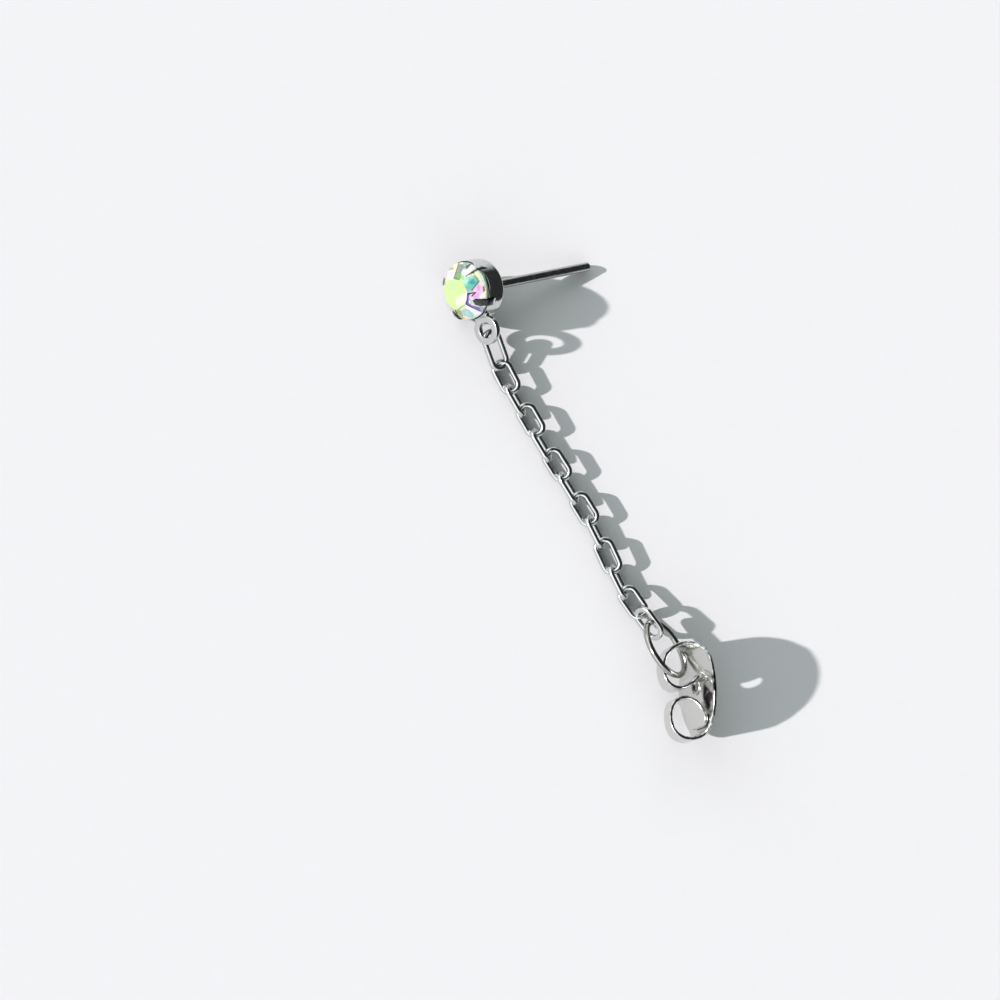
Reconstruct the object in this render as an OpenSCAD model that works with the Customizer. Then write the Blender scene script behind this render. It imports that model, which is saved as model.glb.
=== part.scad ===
// Chain earring, lying on a flat surface: a stone set in a claw cup on an ear
// post, a fine cable chain from the cup's loop tab, and a butterfly ear nut
// on a jump ring at the chain's far end. Millimetres, +Z up, surface at z = 0.

/* [Setting] */
// Outer diameter of the cup
cup_d = 4.0; // [3.8:0.1:4.4]
// Depth of the cup behind the stone's girdle
cup_depth = 1.8; // [1.7:0.1:2.2]
// Wall thickness of the cup
cup_wall = 0.14; // [0.12:0.02:0.16]
// Width of a claw at its root
claw_w = 0.55; // [0.5:0.05:0.8]

/* [Ear post] */
// Diameter of the post
post_d = 0.66; // [0.6:0.02:0.8]
// Length of the post behind the cup
post_len = 11.9; // [10.1:0.2:12.1]

/* [Loop tab] */
// Outer diameter of the tab's ring
tab_d = 2.0; // [1.8:0.1:2.2]
// Diameter of the hole in the tab
tab_hole = 1.06; // [0.9:0.02:1.1]
// Thickness of the tab
tab_t = 0.4; // [0.3:0.05:0.5]

/* [Stone] */
// Diameter of the stone
stone_d = 3.86; // [3.7:0.02:3.86]
// Height of the crown, from the girdle to the table
crown_h = 1.03; // [0.85:0.02:1.05]
// Diameter of the table across its corners
table_d = 2.18; // [1.9:0.02:2.3]

/* [Chain] */
// Diameter of the round bar that the chain's links fill
chain_d = 1.2; // [1.0:0.1:1.4]

/* [Jump ring] */
// Diameter of the ring's wire
ring_wire = 0.44; // [0.36:0.02:0.44]
// Diameter of the ring across the middle of its wire
ring_d = 4.08; // [4.06:0.01:4.1]

/* [Clutch] */
// Width of the plate across its middle
plate_w = 4.78; // [4.6:0.02:4.8]
// Thickness of the strip
strip_t = 0.24; // [0.2:0.02:0.24]
// Diameter of the hole that the ear post goes through
nut_hole = 0.86; // [0.76:0.02:0.9]

/* [Hidden] */
$fn = 96;
e = 0.01;
cup_r = cup_d / 2;
post_r = post_d / 2;
stone_r = stone_d / 2;
girdle_t = 0.1;

// Offset that brings the middle of the whole object's box over the origin
shift_x = -9.704;
shift_y = 2.71;

// Where the stone's girdle centre stands, and the heading of the post
stud_x = 4.44;
stud_y = 13.34;
stud_turn = -8.7;
// The cup stands on its back edge and the post on its tip
edge_s = cup_depth - 0.3;
stud_tilt = atan((cup_r - post_r) / (cup_depth + post_len - edge_s));
stud_z = cup_r * cos(stud_tilt) + edge_s * sin(stud_tilt) + 0.01;
// Where the claws stand round the cup
claw_at = [42, 150, 225, 321];
// The tab stands out to the side, level with the middle of the cup
tab_s = 0.63;
tab_reach = cup_r + tab_d / 2 - 0.1;
tab_drop = 2;

// Route of the chain's middle: x, y, z. It comes down from the tab's hole and
// rises again to the jump ring.
route = [
  [5.17,  8.98, 1.25],
  [5.30,  7.20, 0.76],
  [5.19,  4.90, 0.64],
  [5.24,  2.40, 0.62],
  [5.38, -0.10, 0.62],
  [5.50, -2.60, 0.62],
  [5.60, -5.10, 0.62],
  [5.40, -7.60, 0.62],
  [5.25,-10.00, 0.68],
  [5.32,-11.95, 0.95]
];

// Jump ring: centre and tilt
ring_at = [4.829, -14.437, 1.92];
ring_rx = -5.885;
ring_ry = 23.9;

// Clutch: middle of the plate's outer face, heading of the plate's normal, and
// how far the plate leans back over the scrolls
nut_x = 5.337;
nut_y = -17.898;
nut_turn = -33;
nut_lean = 12;
nut_z = plate_w / 2 * cos(nut_lean) + strip_t * sin(nut_lean) + 0.012;
hole_depth = 0.32;
// Middle line of the bent strip, from one scroll's free end to the plate and
// from the plate to the other's: distance from the plate's outer face, place
// along the plate, reach of the strip to its near and to its far edge
upper_scroll = [
  [-0.47,  0.62, 1.15, 1.12], [-0.63,  0.41, 0.92, 0.92], [-0.92,  0.16, 0.72, 0.74],
  [-1.38, -0.08, 0.64, 0.68], [-1.93, -0.18, 0.65, 0.65], [-2.39,  0.00, 0.60, 0.60],
  [-2.68,  0.34, 0.53, 0.53], [-2.81,  0.80, 0.48, 0.48], [-2.83,  1.29, 0.47, 0.47],
  [-2.73,  1.71, 0.47, 0.47], [-2.56,  2.09, 0.49, 0.49], [-2.28,  2.40, 0.53, 0.53],
  [-1.94,  2.66, 0.60, 0.60], [-1.58,  2.83, 0.70, 0.66], [-1.23,  2.89, 0.90, 0.68],
  [-0.89,  2.85, 1.12, 0.70], [-0.54,  2.69, 1.36, 0.70], [-0.31,  2.46, 1.58, 0.70],
  [-0.17,  2.17, 1.78, 0.83]
];
// The far edge is set in where the jump ring passes under it
flat_part = [
  [-0.12,  1.70, 2.09, 1.47], [-0.12,  1.10, 2.27, 2.10], [-0.12,  0.50, 2.37, 2.36],
  [-0.12, -0.10, 2.39, 2.39], [-0.12, -0.70, 2.34, 2.34], [-0.12, -1.30, 2.22, 2.22],
  [-0.12, -1.90, 2.01, 2.01], [-0.12, -2.40, 1.74, 1.74]
];
lower_scroll = [
  [-0.13, -2.70, 1.50, 1.50], [-0.18, -3.00, 1.27, 1.27], [-0.34, -3.27, 1.03, 1.03],
  [-0.61, -3.49, 0.86, 0.86], [-1.00, -3.61, 0.72, 0.72], [-1.41, -3.62, 0.63, 0.63],
  [-1.83, -3.53, 0.57, 0.57], [-2.19, -3.30, 0.53, 0.53], [-2.44, -2.96, 0.48, 0.48],
  [-2.56, -2.53, 0.46, 0.46], [-2.57, -2.05, 0.45, 0.45], [-2.50, -1.65, 0.48, 0.48],
  [-2.32, -1.28, 0.54, 0.54], [-2.06, -1.01, 0.60, 0.60], [-1.71, -0.87, 0.68, 0.68],
  [-1.35, -0.86, 0.80, 0.80], [-1.06, -0.99, 0.95, 0.95], [-0.80, -1.26, 1.10, 1.10],
  [-0.60, -1.60, 1.22, 1.15], [-0.48, -1.96, 1.32, 1.15], [-0.43, -2.28, 1.37, 1.02],
  [-0.42, -2.58, 1.28, 0.78], [-0.45, -2.84, 1.10, 0.50]
];

module lying_stud() {
  translate([stud_x, stud_y, stud_z])
    rotate([0, 0, stud_turn])
      rotate([0, stud_tilt, 0])
        rotate([0, 90, 0])
          children();
}

// Everything on the stud is drawn along its own axis: the stone's girdle at
// z = 0, the table toward -z and the post toward +z.

module cup() {
  rotate_extrude()
    polygon([
      [cup_r - cup_wall, 0.24], [cup_r - 0.05, 0.12], [cup_r, 0.12],
      [cup_r, cup_depth - 0.30], [cup_r - 0.10, cup_depth - 0.09], [cup_r - 0.32, cup_depth],
      [0, cup_depth], [0, cup_depth - 0.22],
      [cup_r - cup_wall - 0.15, cup_depth - 0.22], [cup_r - cup_wall, cup_depth - 0.37]
    ]);
}

// One claw: a slice of a lip that lies on the crown, cut to a point
module claw() {
  slope_x = stone_r - table_d / 2;
  run = norm([slope_x, crown_h]);
  // a point over the crown: how far up its slope, and how far off it
  function over(f, lift) =
    [stone_r - slope_x * f + lift * crown_h / run, -crown_h * f - lift * slope_x / run];
  intersection() {
    rotate_extrude()
      polygon([
        [cup_r - 0.05, 0.6], [cup_r + 0.08, 0.6], [cup_r + 0.08, 0.02],
        over(0.03, 0.16), over(0.35, 0.17), over(0.62, 0.12),
        over(0.62, 0.03), over(0, 0.03), [stone_r + 0.03, 0.1], [cup_r - 0.04, 0.14]
      ]);
    translate([0, 0, -2])
      linear_extrude(height = 4)
        polygon([
          [cup_r + 0.3, -claw_w / 2], [cup_r + 0.3, claw_w / 2],
          [cup_r - 0.25, claw_w / 2 - 0.03], [stone_r - slope_x * 0.66, 0],
          [cup_r - 0.25, -claw_w / 2 + 0.03]
        ]);
  }
}

module tab() {
  rotate([0, 0, -90 + tab_drop])
    translate([0, 0, tab_s - tab_t / 2])
      difference() {
        union() {
          translate([tab_reach, 0, 0]) cylinder(d = tab_d, h = tab_t);
          translate([cup_r - cup_wall + 0.02, -0.5, 0]) cube([0.45, 1.0, tab_t]);
        }
        translate([tab_reach, 0, -1]) cylinder(d = tab_hole, h = tab_t + 2);
      }
}

module post() {
  translate([0, 0, cup_depth - 0.1]) cylinder(r = post_r, h = post_len + 0.1 - 0.12);
  translate([0, 0, cup_depth + post_len - 0.12]) cylinder(r1 = post_r, r2 = post_r - 0.12, h = 0.12);
  translate([0, 0, cup_depth - e]) cylinder(r1 = 0.62, r2 = post_r, h = 0.28);
}

module setting() {
  color("silver")
    translate([shift_x, shift_y, 0])
      lying_stud() {
        union() {
          cup();
          for (a = claw_at) rotate([0, 0, a]) claw();
          tab();
          post();
        }
      }
}

module stone() {
  color("palegreen")
    translate([shift_x, shift_y, 0])
      lying_stud()
        hull() {
          translate([0, 0, -crown_h]) rotate([0, 0, 22.5]) cylinder(d = table_d, h = 0.02, $fn = 8);
          translate([0, 0, 0]) rotate([0, 0, 11.25]) cylinder(d = stone_d, h = girdle_t, $fn = 16);
          translate([0, 0, cup_depth - 0.42]) rotate([0, 0, 22.5]) cylinder(d = 0.3, h = 0.02, $fn = 8);
        }
}

// Tube swept along a route with flat ends
function unit(v) = v / norm(v);
function heading(p, i) =
  unit(p[min(i + 1, len(p) - 1)] - p[max(i - 1, 0)]);
module tube(p, d, sides) {
  n = len(p);
  pts = [
    for (i = [0 : n - 1])
      let (t = heading(p, i), u = unit(cross([0, 0, 1], t)), v = cross(t, u))
        for (k = [0 : sides - 1])
          let (a = 360 * k / sides + 180 / sides)
            p[i] + d / 2 * (cos(a) * u + sin(a) * v)
  ];
  faces = concat(
    [[for (k = [0 : sides - 1]) k]],
    [for (i = [0 : n - 2]) for (k = [0 : sides - 1])
      [i * sides + k, (i + 1) * sides + k, i * sides + (k + 1) % sides]],
    [for (i = [0 : n - 2]) for (k = [0 : sides - 1])
      [i * sides + (k + 1) % sides, (i + 1) * sides + k, (i + 1) * sides + (k + 1) % sides]],
    [[for (k = [sides - 1 : -1 : 0]) (n - 1) * sides + k]]
  );
  polyhedron(points = pts, faces = faces, convexity = 4);
}

module chain() {
  color("gainsboro")
    translate([shift_x, shift_y, 0])
      tube(route, chain_d, 8);
}

module jump_ring() {
  color("silver")
    translate([shift_x, shift_y, 0])
      translate(ring_at)
        rotate([ring_rx, ring_ry, 0])
          rotate_extrude()
            translate([ring_d / 2, 0]) circle(d = ring_wire, $fn = 32);
}

// Smooth curve through the points of a line, with n steps between them
function bend(p, i, t) =
  let (a = p[max(i - 1, 0)], b = p[i], c = p[i + 1], d = p[min(i + 2, len(p) - 1)])
    (2 * b + (c - a) * t + (2 * a - 5 * b + 4 * c - d) * t * t
      + (3 * b - a - 3 * c + d) * t * t * t) / 2;
function smooth(p, n) =
  concat([for (i = [0 : len(p) - 2], k = [0 : n - 1]) bend(p, i, k / n)], [p[len(p) - 1]]);
function side(p, i) =
  let (a = p[min(i + 1, len(p) - 1)], b = p[max(i - 1, 0)], t = unit([a[0] - b[0], a[1] - b[1]]))
    [-t[1], t[0]];

// The clutch is drawn with its plate's outer face at x = 0, its length along
// y and its scrolls' axes along z.
module strip() {
  p = smooth(concat(upper_scroll, flat_part, lower_scroll), 2);
  n = len(p);
  h = strip_t / 2;
  wide = plate_w / 4.78;
  pts = [
    for (i = [0 : n - 1])
      let (q = p[i], near = q[2] * wide, far = -q[3] * wide, u = side(p, i))
        for (c = [[h, far], [h, near], [-h, near], [-h, far]])
          [q[0] + c[0] * u[0], q[1] + c[0] * u[1], c[1]]
  ];
  faces = concat(
    [[0, 1, 2, 3]],
    [for (i = [0 : n - 2]) for (k = [0 : 3])
      [i * 4 + k, (i + 1) * 4 + k, i * 4 + (k + 1) % 4]],
    [for (i = [0 : n - 2]) for (k = [0 : 3])
      [i * 4 + (k + 1) % 4, (i + 1) * 4 + k, (i + 1) * 4 + (k + 1) % 4]],
    [[for (k = [3 : -1 : 0]) (n - 1) * 4 + k]]
  );
  polyhedron(points = pts, faces = faces, convexity = 8);
}

module clutch() {
  color("silver")
    translate([shift_x, shift_y, 0])
      translate([nut_x, nut_y, nut_z])
        rotate([0, 0, nut_turn])
          rotate([0, -nut_lean, 0])
            difference() {
              union() {
                strip();
                // low collar that the post hole is punched into
                translate([-0.1, 0, 0])
                  rotate([0, -90, 0]) cylinder(r = nut_hole / 2 + 0.12, h = hole_depth - 0.1);
              }
              // the hole, with its outer edge broken
              translate([0.05, 0, 0])
                rotate([0, -90, 0]) cylinder(d = nut_hole, h = hole_depth + 0.07);
              translate([0.05, 0, 0])
                rotate([0, -90, 0]) cylinder(d1 = nut_hole + 0.24, d2 = nut_hole, h = 0.10);
            }
}

setting();
stone();
chain();
jump_ring();
clutch();
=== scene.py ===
import math
import bpy
import bmesh
import numpy as np
from mathutils import Matrix, Vector, noise


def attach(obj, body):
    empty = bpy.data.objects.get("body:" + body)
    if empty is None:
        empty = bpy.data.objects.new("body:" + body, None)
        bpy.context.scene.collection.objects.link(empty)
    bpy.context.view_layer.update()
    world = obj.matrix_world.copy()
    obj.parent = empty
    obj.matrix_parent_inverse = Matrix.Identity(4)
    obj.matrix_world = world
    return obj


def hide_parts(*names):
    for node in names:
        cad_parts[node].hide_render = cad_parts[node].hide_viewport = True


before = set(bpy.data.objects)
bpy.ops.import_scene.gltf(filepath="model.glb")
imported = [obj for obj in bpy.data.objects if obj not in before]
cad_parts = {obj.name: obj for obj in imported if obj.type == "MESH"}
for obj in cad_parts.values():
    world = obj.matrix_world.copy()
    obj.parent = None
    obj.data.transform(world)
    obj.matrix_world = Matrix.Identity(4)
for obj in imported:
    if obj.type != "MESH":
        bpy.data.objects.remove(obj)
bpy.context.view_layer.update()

MM = 0.001

# ------------------------------------------------------------------ helpers

def rot(ax, deg):
    return Matrix.Rotation(math.radians(deg), 4, ax)


def make_object(name, bm, mat, body="root", sharp=35.0, smooth=True):
    """Turns a bmesh in millimetres into a finished piece in metres."""
    bmesh.ops.remove_doubles(bm, verts=bm.verts, dist=1e-5)
    bmesh.ops.recalc_face_normals(bm, faces=bm.faces)
    for v in bm.verts:
        v.co *= MM
    me = bpy.data.meshes.new(name)
    bm.to_mesh(me)
    bm.free()
    for p in me.polygons:
        p.use_smooth = smooth
    if smooth:
        me.set_sharp_from_angle(angle=math.radians(sharp))
    ob = bpy.data.objects.new(name, me)
    bpy.context.scene.collection.objects.link(ob)
    for m in (mat if isinstance(mat, (list, tuple)) else [mat]):
        me.materials.append(m)
    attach(ob, body)
    return ob


def rounded_section(w, h, r, n=4):
    """Closed outline of a rectangle w by h with corner radius r."""
    pts = []
    for cx, cy, a0 in ((w / 2 - r, h / 2 - r, 0), (-w / 2 + r, h / 2 - r, 90),
                       (-w / 2 + r, -h / 2 + r, 180), (w / 2 - r, -h / 2 + r, 270)):
        for k in range(n + 1):
            a = math.radians(a0 + 90 * k / n)
            pts.append((cx + r * math.cos(a), cy + r * math.sin(a)))
    return pts


def sweep(bm, centres, us, vs, section, closed=True):
    """Sweeps a closed section along centres; us and vs carry the section's two axes."""
    rings = []
    for i, (c, u, v) in enumerate(zip(centres, us, vs)):
        sec = section(i) if callable(section) else section
        rings.append([bm.verts.new(c + u * a + v * b) for a, b in sec])
    n = len(rings)
    m = len(rings[0])
    for i in range(n if closed else n - 1):
        a, b = rings[i], rings[(i + 1) % n]
        for k in range(m):
            bm.faces.new((a[k], a[(k + 1) % m], b[(k + 1) % m], b[k]))
    if not closed:
        bm.faces.new(rings[0][::-1])
        bm.faces.new(rings[-1])
    return rings


def lathe(bm, profile, segs, mat=Matrix.Identity(4), closed=True, radial=None):
    """Turns (r, z) points round z. radial(a, r, z) may move a point."""
    rings = []
    for k in range(segs):
        a = 2 * math.pi * k / segs
        row = []
        for r, z in profile:
            rr, zz = (r, z) if radial is None else radial(a, r, z)
            row.append(bm.verts.new(mat @ Vector((rr * math.cos(a), rr * math.sin(a), zz))))
        rings.append(row)
    m = len(profile)
    for k in range(segs):
        a, b = rings[k], rings[(k + 1) % segs]
        for j in range(m if closed else m - 1):
            q = (a[j], b[j], b[(j + 1) % m], a[(j + 1) % m])
            if (q[0].co - q[1].co).length < 1e-6 and (q[2].co - q[3].co).length < 1e-6:
                continue
            bm.faces.new(q)
    return rings


def catmull(p, n):
    """Smooth curve through points, n steps between each two."""
    p = [Vector(q) for q in p]
    out = []
    for i in range(len(p) - 1):
        a, b, c, d = p[max(i - 1, 0)], p[i], p[i + 1], p[min(i + 2, len(p) - 1)]
        for k in range(n):
            t = k / n
            out.append(0.5 * (2 * b + (c - a) * t + (2 * a - 5 * b + 4 * c - d) * t * t
                              + (3 * b - a - 3 * c + d) * t * t * t))
    out.append(p[-1])
    return out

# ------------------------------------------------------------------ materials

def node(nt, kind, **inputs):
    n = nt.nodes.new(kind)
    for k, v in inputs.items():
        setattr(n, k, v)
    return n


def metal(name, tint=(0.80, 0.81, 0.82), rough=0.10, rough_var=0.10, scratch=0.10, bump=0.25, scale=1.0,
          wave=0.006):
    """Bright rhodium plating: soft cloudy roughness, fine polishing lines, faint orange peel."""
    m = bpy.data.materials.new(name)
    m.use_nodes = True
    nt = m.node_tree
    bsdf = nt.nodes["Principled BSDF"]
    bsdf.inputs["Metallic"].default_value = 1.0
    co = node(nt, "ShaderNodeTexCoord")
    mp = node(nt, "ShaderNodeMapping")
    mp.inputs["Scale"].default_value = (1000 * scale,) * 3
    nt.links.new(co.outputs["Object"], mp.inputs["Vector"])
    # cloudy variation of roughness
    n1 = node(nt, "ShaderNodeTexNoise")
    n1.inputs["Scale"].default_value = 1.3
    n1.inputs["Detail"].default_value = 5.0
    n1.inputs["Roughness"].default_value = 0.6
    nt.links.new(mp.outputs[0], n1.inputs["Vector"])
    # long fine polishing lines
    mp2 = node(nt, "ShaderNodeMapping")
    mp2.inputs["Scale"].default_value = (3000 * scale, 26000 * scale, 9000 * scale)
    mp2.inputs["Rotation"].default_value = (0.4, 0.2, 0.9)
    nt.links.new(co.outputs["Object"], mp2.inputs["Vector"])
    n2 = node(nt, "ShaderNodeTexNoise")
    n2.inputs["Scale"].default_value = 1.0
    n2.inputs["Detail"].default_value = 3.0
    nt.links.new(mp2.outputs[0], n2.inputs["Vector"])
    r1 = node(nt, "ShaderNodeMapRange")
    r1.inputs["From Min"].default_value = 0.35
    r1.inputs["From Max"].default_value = 0.72
    r1.inputs["To Min"].default_value = rough
    r1.inputs["To Max"].default_value = rough + rough_var
    nt.links.new(n1.outputs["Fac"], r1.inputs["Value"])
    r2 = node(nt, "ShaderNodeMapRange")
    r2.inputs["From Min"].default_value = 0.5
    r2.inputs["From Max"].default_value = 0.8
    r2.inputs["To Min"].default_value = 0.0
    r2.inputs["To Max"].default_value = scratch
    nt.links.new(n2.outputs["Fac"], r2.inputs["Value"])
    add = node(nt, "ShaderNodeMath", operation="ADD")
    nt.links.new(r1.outputs[0], add.inputs[0])
    nt.links.new(r2.outputs[0], add.inputs[1])
    nt.links.new(add.outputs[0], bsdf.inputs["Roughness"])
    # tint: a touch warmer where the plating is thin
    ramp = node(nt, "ShaderNodeValToRGB")
    ramp.color_ramp.elements[0].position = 0.30
    ramp.color_ramp.elements[0].color = (tint[0] * 0.93, tint[1] * 0.93, tint[2] * 0.92, 1)
    ramp.color_ramp.elements[1].position = 0.75
    ramp.color_ramp.elements[1].color = (tint[0], tint[1], tint[2], 1)
    nt.links.new(n1.outputs["Fac"], ramp.inputs["Fac"])
    nt.links.new(ramp.outputs["Color"], bsdf.inputs["Base Color"])
    # orange peel and lines in the surface
    n3 = node(nt, "ShaderNodeTexNoise")
    n3.inputs["Scale"].default_value = 4.5
    n3.inputs["Detail"].default_value = 2.0
    nt.links.new(mp.outputs[0], n3.inputs["Vector"])
    mix = node(nt, "ShaderNodeMath", operation="MULTIPLY_ADD")
    mix.inputs[1].default_value = 0.25
    nt.links.new(n2.outputs["Fac"], mix.inputs[0])
    nt.links.new(n3.outputs["Fac"], mix.inputs[2])
    b = node(nt, "ShaderNodeBump")
    b.inputs["Strength"].default_value = bump
    b.inputs["Distance"].default_value = 0.00002
    nt.links.new(mix.outputs[0], b.inputs["Height"])
    # soft waviness of a hand-formed part
    n4 = node(nt, "ShaderNodeTexNoise")
    n4.inputs["Scale"].default_value = 0.75
    n4.inputs["Detail"].default_value = 1.0
    nt.links.new(mp.outputs[0], n4.inputs["Vector"])
    b2 = node(nt, "ShaderNodeBump")
    b2.inputs["Strength"].default_value = 1.0
    b2.inputs["Distance"].default_value = wave * MM
    nt.links.new(n4.outputs["Fac"], b2.inputs["Height"])
    nt.links.new(b2.outputs["Normal"], b.inputs["Normal"])
    nt.links.new(b.outputs["Normal"], bsdf.inputs["Normal"])
    return m


METAL = metal("plated_metal", tint=(0.64, 0.645, 0.64), rough=0.07, rough_var=0.08)
METAL_LINK = metal("plated_link", tint=(0.62, 0.625, 0.62), rough=0.06, rough_var=0.07, bump=0.3)
METAL_RING = metal("plated_ring", tint=(0.42, 0.42, 0.40), rough=0.07, rough_var=0.08, bump=0.4)
# its node tree also gets painted dark reflections on the plate's hollow and on the near edges, further down
METAL_STRIP_PAINTED_DARK = metal("plated_strip_painted_dark", tint=(0.70, 0.70, 0.68), rough=0.13, rough_var=0.10, scratch=0.12, bump=0.35, wave=0.03)
METAL_POST = metal("plated_post", tint=(0.46, 0.47, 0.46), rough=0.14, rough_var=0.10, scratch=0.15, bump=0.35)
# near-black tint: painted dark reflection, for two of the claws and the cup's rim beside them
METAL_CLAW_PAINTED_DARK = metal("painted_dark_claw", tint=(0.07, 0.065, 0.07), rough=0.16, rough_var=0.10, scratch=0.15, bump=0.35)


def crystal_material():
    """Coated crystal: each facet and each flash inside it has its own colour, kept in a mesh attribute; the flashes are
    the coating's colours together with painted reflections, glints and dark spots of the stone's back facets.
    """
    m = bpy.data.materials.new("coated_crystal_painted_flashes")
    m.use_nodes = True
    nt = m.node_tree
    bsdf = nt.nodes["Principled BSDF"]
    at = node(nt, "ShaderNodeAttribute", attribute_name="flash")
    co = node(nt, "ShaderNodeTexCoord")
    mp = node(nt, "ShaderNodeMapping")
    mp.inputs["Scale"].default_value = (1000,) * 3
    nt.links.new(co.outputs["Object"], mp.inputs["Vector"])
    n1 = node(nt, "ShaderNodeTexNoise")
    n1.inputs["Scale"].default_value = 1.6
    n1.inputs["Detail"].default_value = 3.0
    nt.links.new(mp.outputs[0], n1.inputs["Vector"])
    hs = node(nt, "ShaderNodeHueSaturation")
    rr = node(nt, "ShaderNodeMapRange")
    rr.inputs["From Min"].default_value = 0.3
    rr.inputs["From Max"].default_value = 0.7
    rr.inputs["To Min"].default_value = 0.488
    rr.inputs["To Max"].default_value = 0.512
    nt.links.new(n1.outputs["Fac"], rr.inputs["Value"])
    nt.links.new(rr.outputs[0], hs.inputs["Hue"])
    nt.links.new(at.outputs["Color"], hs.inputs["Color"])
    vv = node(nt, "ShaderNodeMapRange")
    vv.inputs["From Min"].default_value = 0.3
    vv.inputs["From Max"].default_value = 0.7
    vv.inputs["To Min"].default_value = 0.9
    vv.inputs["To Max"].default_value = 1.06
    nt.links.new(n1.outputs["Fac"], vv.inputs["Value"])
    nt.links.new(vv.outputs[0], hs.inputs["Value"])
    nt.links.new(hs.outputs["Color"], bsdf.inputs["Base Color"])
    bsdf.inputs["Roughness"].default_value = 0.12
    bsdf.inputs["Coat Weight"].default_value = 1.0
    bsdf.inputs["Coat Roughness"].default_value = 0.02
    bsdf.inputs["Coat IOR"].default_value = 1.6
    return m


CRYSTAL_PAINTED_FLASHES = crystal_material()

# ------------------------------------------------------------------ where things lie (millimetres)

SHIFT = Vector((-9.704, 2.71, 0.0))

# stud: its own axis is z, the stone's girdle at 0, the table toward -z, the post toward +z
CUP_R, CUP_DEPTH, POST_R, POST_LEN = 2.0, 1.8, 0.33, 11.9
EDGE = CUP_DEPTH - 0.3
TILT = math.degrees(math.atan((CUP_R - POST_R) / (CUP_DEPTH + POST_LEN - EDGE)))
STUD_Z = CUP_R * math.cos(math.radians(TILT)) + EDGE * math.sin(math.radians(TILT)) + 0.01
STUD = (Matrix.Translation(SHIFT + Vector((4.44, 13.34, STUD_Z)))
        @ rot("Z", -8.7) @ rot("Y", TILT) @ rot("Y", 90))
STONE_R, TABLE_R, CROWN = 1.93, 1.09, 1.03
TAB_S, TAB_DROP, TAB_R, TAB_HOLE, TAB_T = 0.63, 2.0, 1.0, 0.53, 0.4
TAB_REACH = CUP_R + TAB_R - 0.1
CLAW_AT = (42.0, 150.0, 225.0, 321.0)

RING_C = SHIFT + Vector((4.829, -14.437, 1.92))
RING_M = Matrix.Translation(RING_C) @ rot("Y", 23.9) @ rot("X", -5.885)
RING_R, RING_W = 2.04, 0.44

PLATE_W, STRIP_T, LEAN = 4.78, 0.24, 12.0
NUT = (Matrix.Translation(SHIFT + Vector((5.337, -17.898, PLATE_W / 2 * math.cos(math.radians(LEAN))
                                          + STRIP_T * math.sin(math.radians(LEAN)) + 0.012)))
       @ rot("Z", -33.0) @ rot("Y", -LEAN))

# ------------------------------------------------------------------ chain links
# middle of each link before SHIFT: x, y, height; how its flat side leans, in degrees; length,
# width, dip (how far its +Y end is higher, in degrees), and its heading where it isn't the chain's
LINKS = [
    (5.14,   8.96, 1.16,  -20, 3.10, 1.50, 22.5,  8.8),
    (5.32,   7.00, 0.58,  -40, 2.62, 1.50,  0.0, None),
    (5.00,   5.34, 0.60,   32, 2.62, 1.50,  0.0, None),
    (5.38,   3.62, 0.58,  -40, 2.62, 1.50,  0.0, None),
    (5.08,   1.79, 0.60,   32, 2.64, 1.50,  0.0, None),
    (5.52,   0.07, 0.58,  -40, 2.62, 1.50,  0.0, None),
    (5.34,  -1.70, 0.60,   32, 2.64, 1.50,  0.0, None),
    (5.74,  -3.53, 0.58,  -40, 2.66, 1.50,  0.0, None),
    (5.55,  -5.26, 0.60,   32, 2.62, 1.50,  0.0, None),
    (5.54,  -7.14, 0.58,  -40, 2.74, 1.50,  0.0, None),
    (5.17,  -9.03, 0.60,   32, 2.70, 1.50,  0.0, None),
    (5.32, -10.75, 0.76,  -40, 2.60, 1.50, -9.0, None),
    (5.14, -12.48, 1.33,  -80, 2.62, 1.56, -10.8, 0.0),
]
WIRE = 0.38


def link_path(length, width, n=64):
    """Middle line of a link in its own plane: two straights and two round ends."""
    r = (width - WIRE) / 2
    s = (length - WIRE) / 2 - r
    pts, nor = [], []
    straight, arc = 2 * s, math.pi * r
    total = 2 * (straight + arc)
    for k in range(n):
        d = total * k / n
        if d < straight:
            pts.append((r, -s + d)); nor.append((1, 0))
        elif d < straight + arc:
            a = (d - straight) / r
            pts.append((r * math.cos(a), s + r * math.sin(a))); nor.append((math.cos(a), math.sin(a)))
        elif d < 2 * straight + arc:
            q = d - straight - arc
            pts.append((-r, s - q)); nor.append((-1, 0))
        else:
            a = math.pi + (d - 2 * straight - arc) / r
            pts.append((r * math.cos(a), -s + r * math.sin(a))); nor.append((math.cos(a), math.sin(a)))
    return pts, nor


def add_link(bm, x, y, z, lean, length, width, dip, yaw, seed):
    M = Matrix.Translation((x, y, z)) @ rot("Z", yaw) @ rot("X", dip) @ rot("Y", lean)
    R = M.to_3x3()
    pts, nor = link_path(length, width)
    cs, us, vs = [], [], []
    for i, ((px, py), (nx, ny)) in enumerate(zip(pts, nor)):
        cs.append(M @ Vector((px, py, 0)))
        us.append(R @ Vector((nx, ny, 0)))
        vs.append(R @ Vector((0, 0, 1)))
    sec = rounded_section(WIRE, WIRE, WIRE * 0.40, 3)
    n = len(pts)

    def section(i):
        # the soldered joint at one end is a little thicker
        d = min(abs(i - seed % n), n - abs(i - seed % n))
        k = 1.0 + 0.05 * math.exp(-(d / 1.6) ** 2)
        return [(a * k, b * k) for a, b in sec]
    sweep(bm, cs, us, vs, section)


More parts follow.
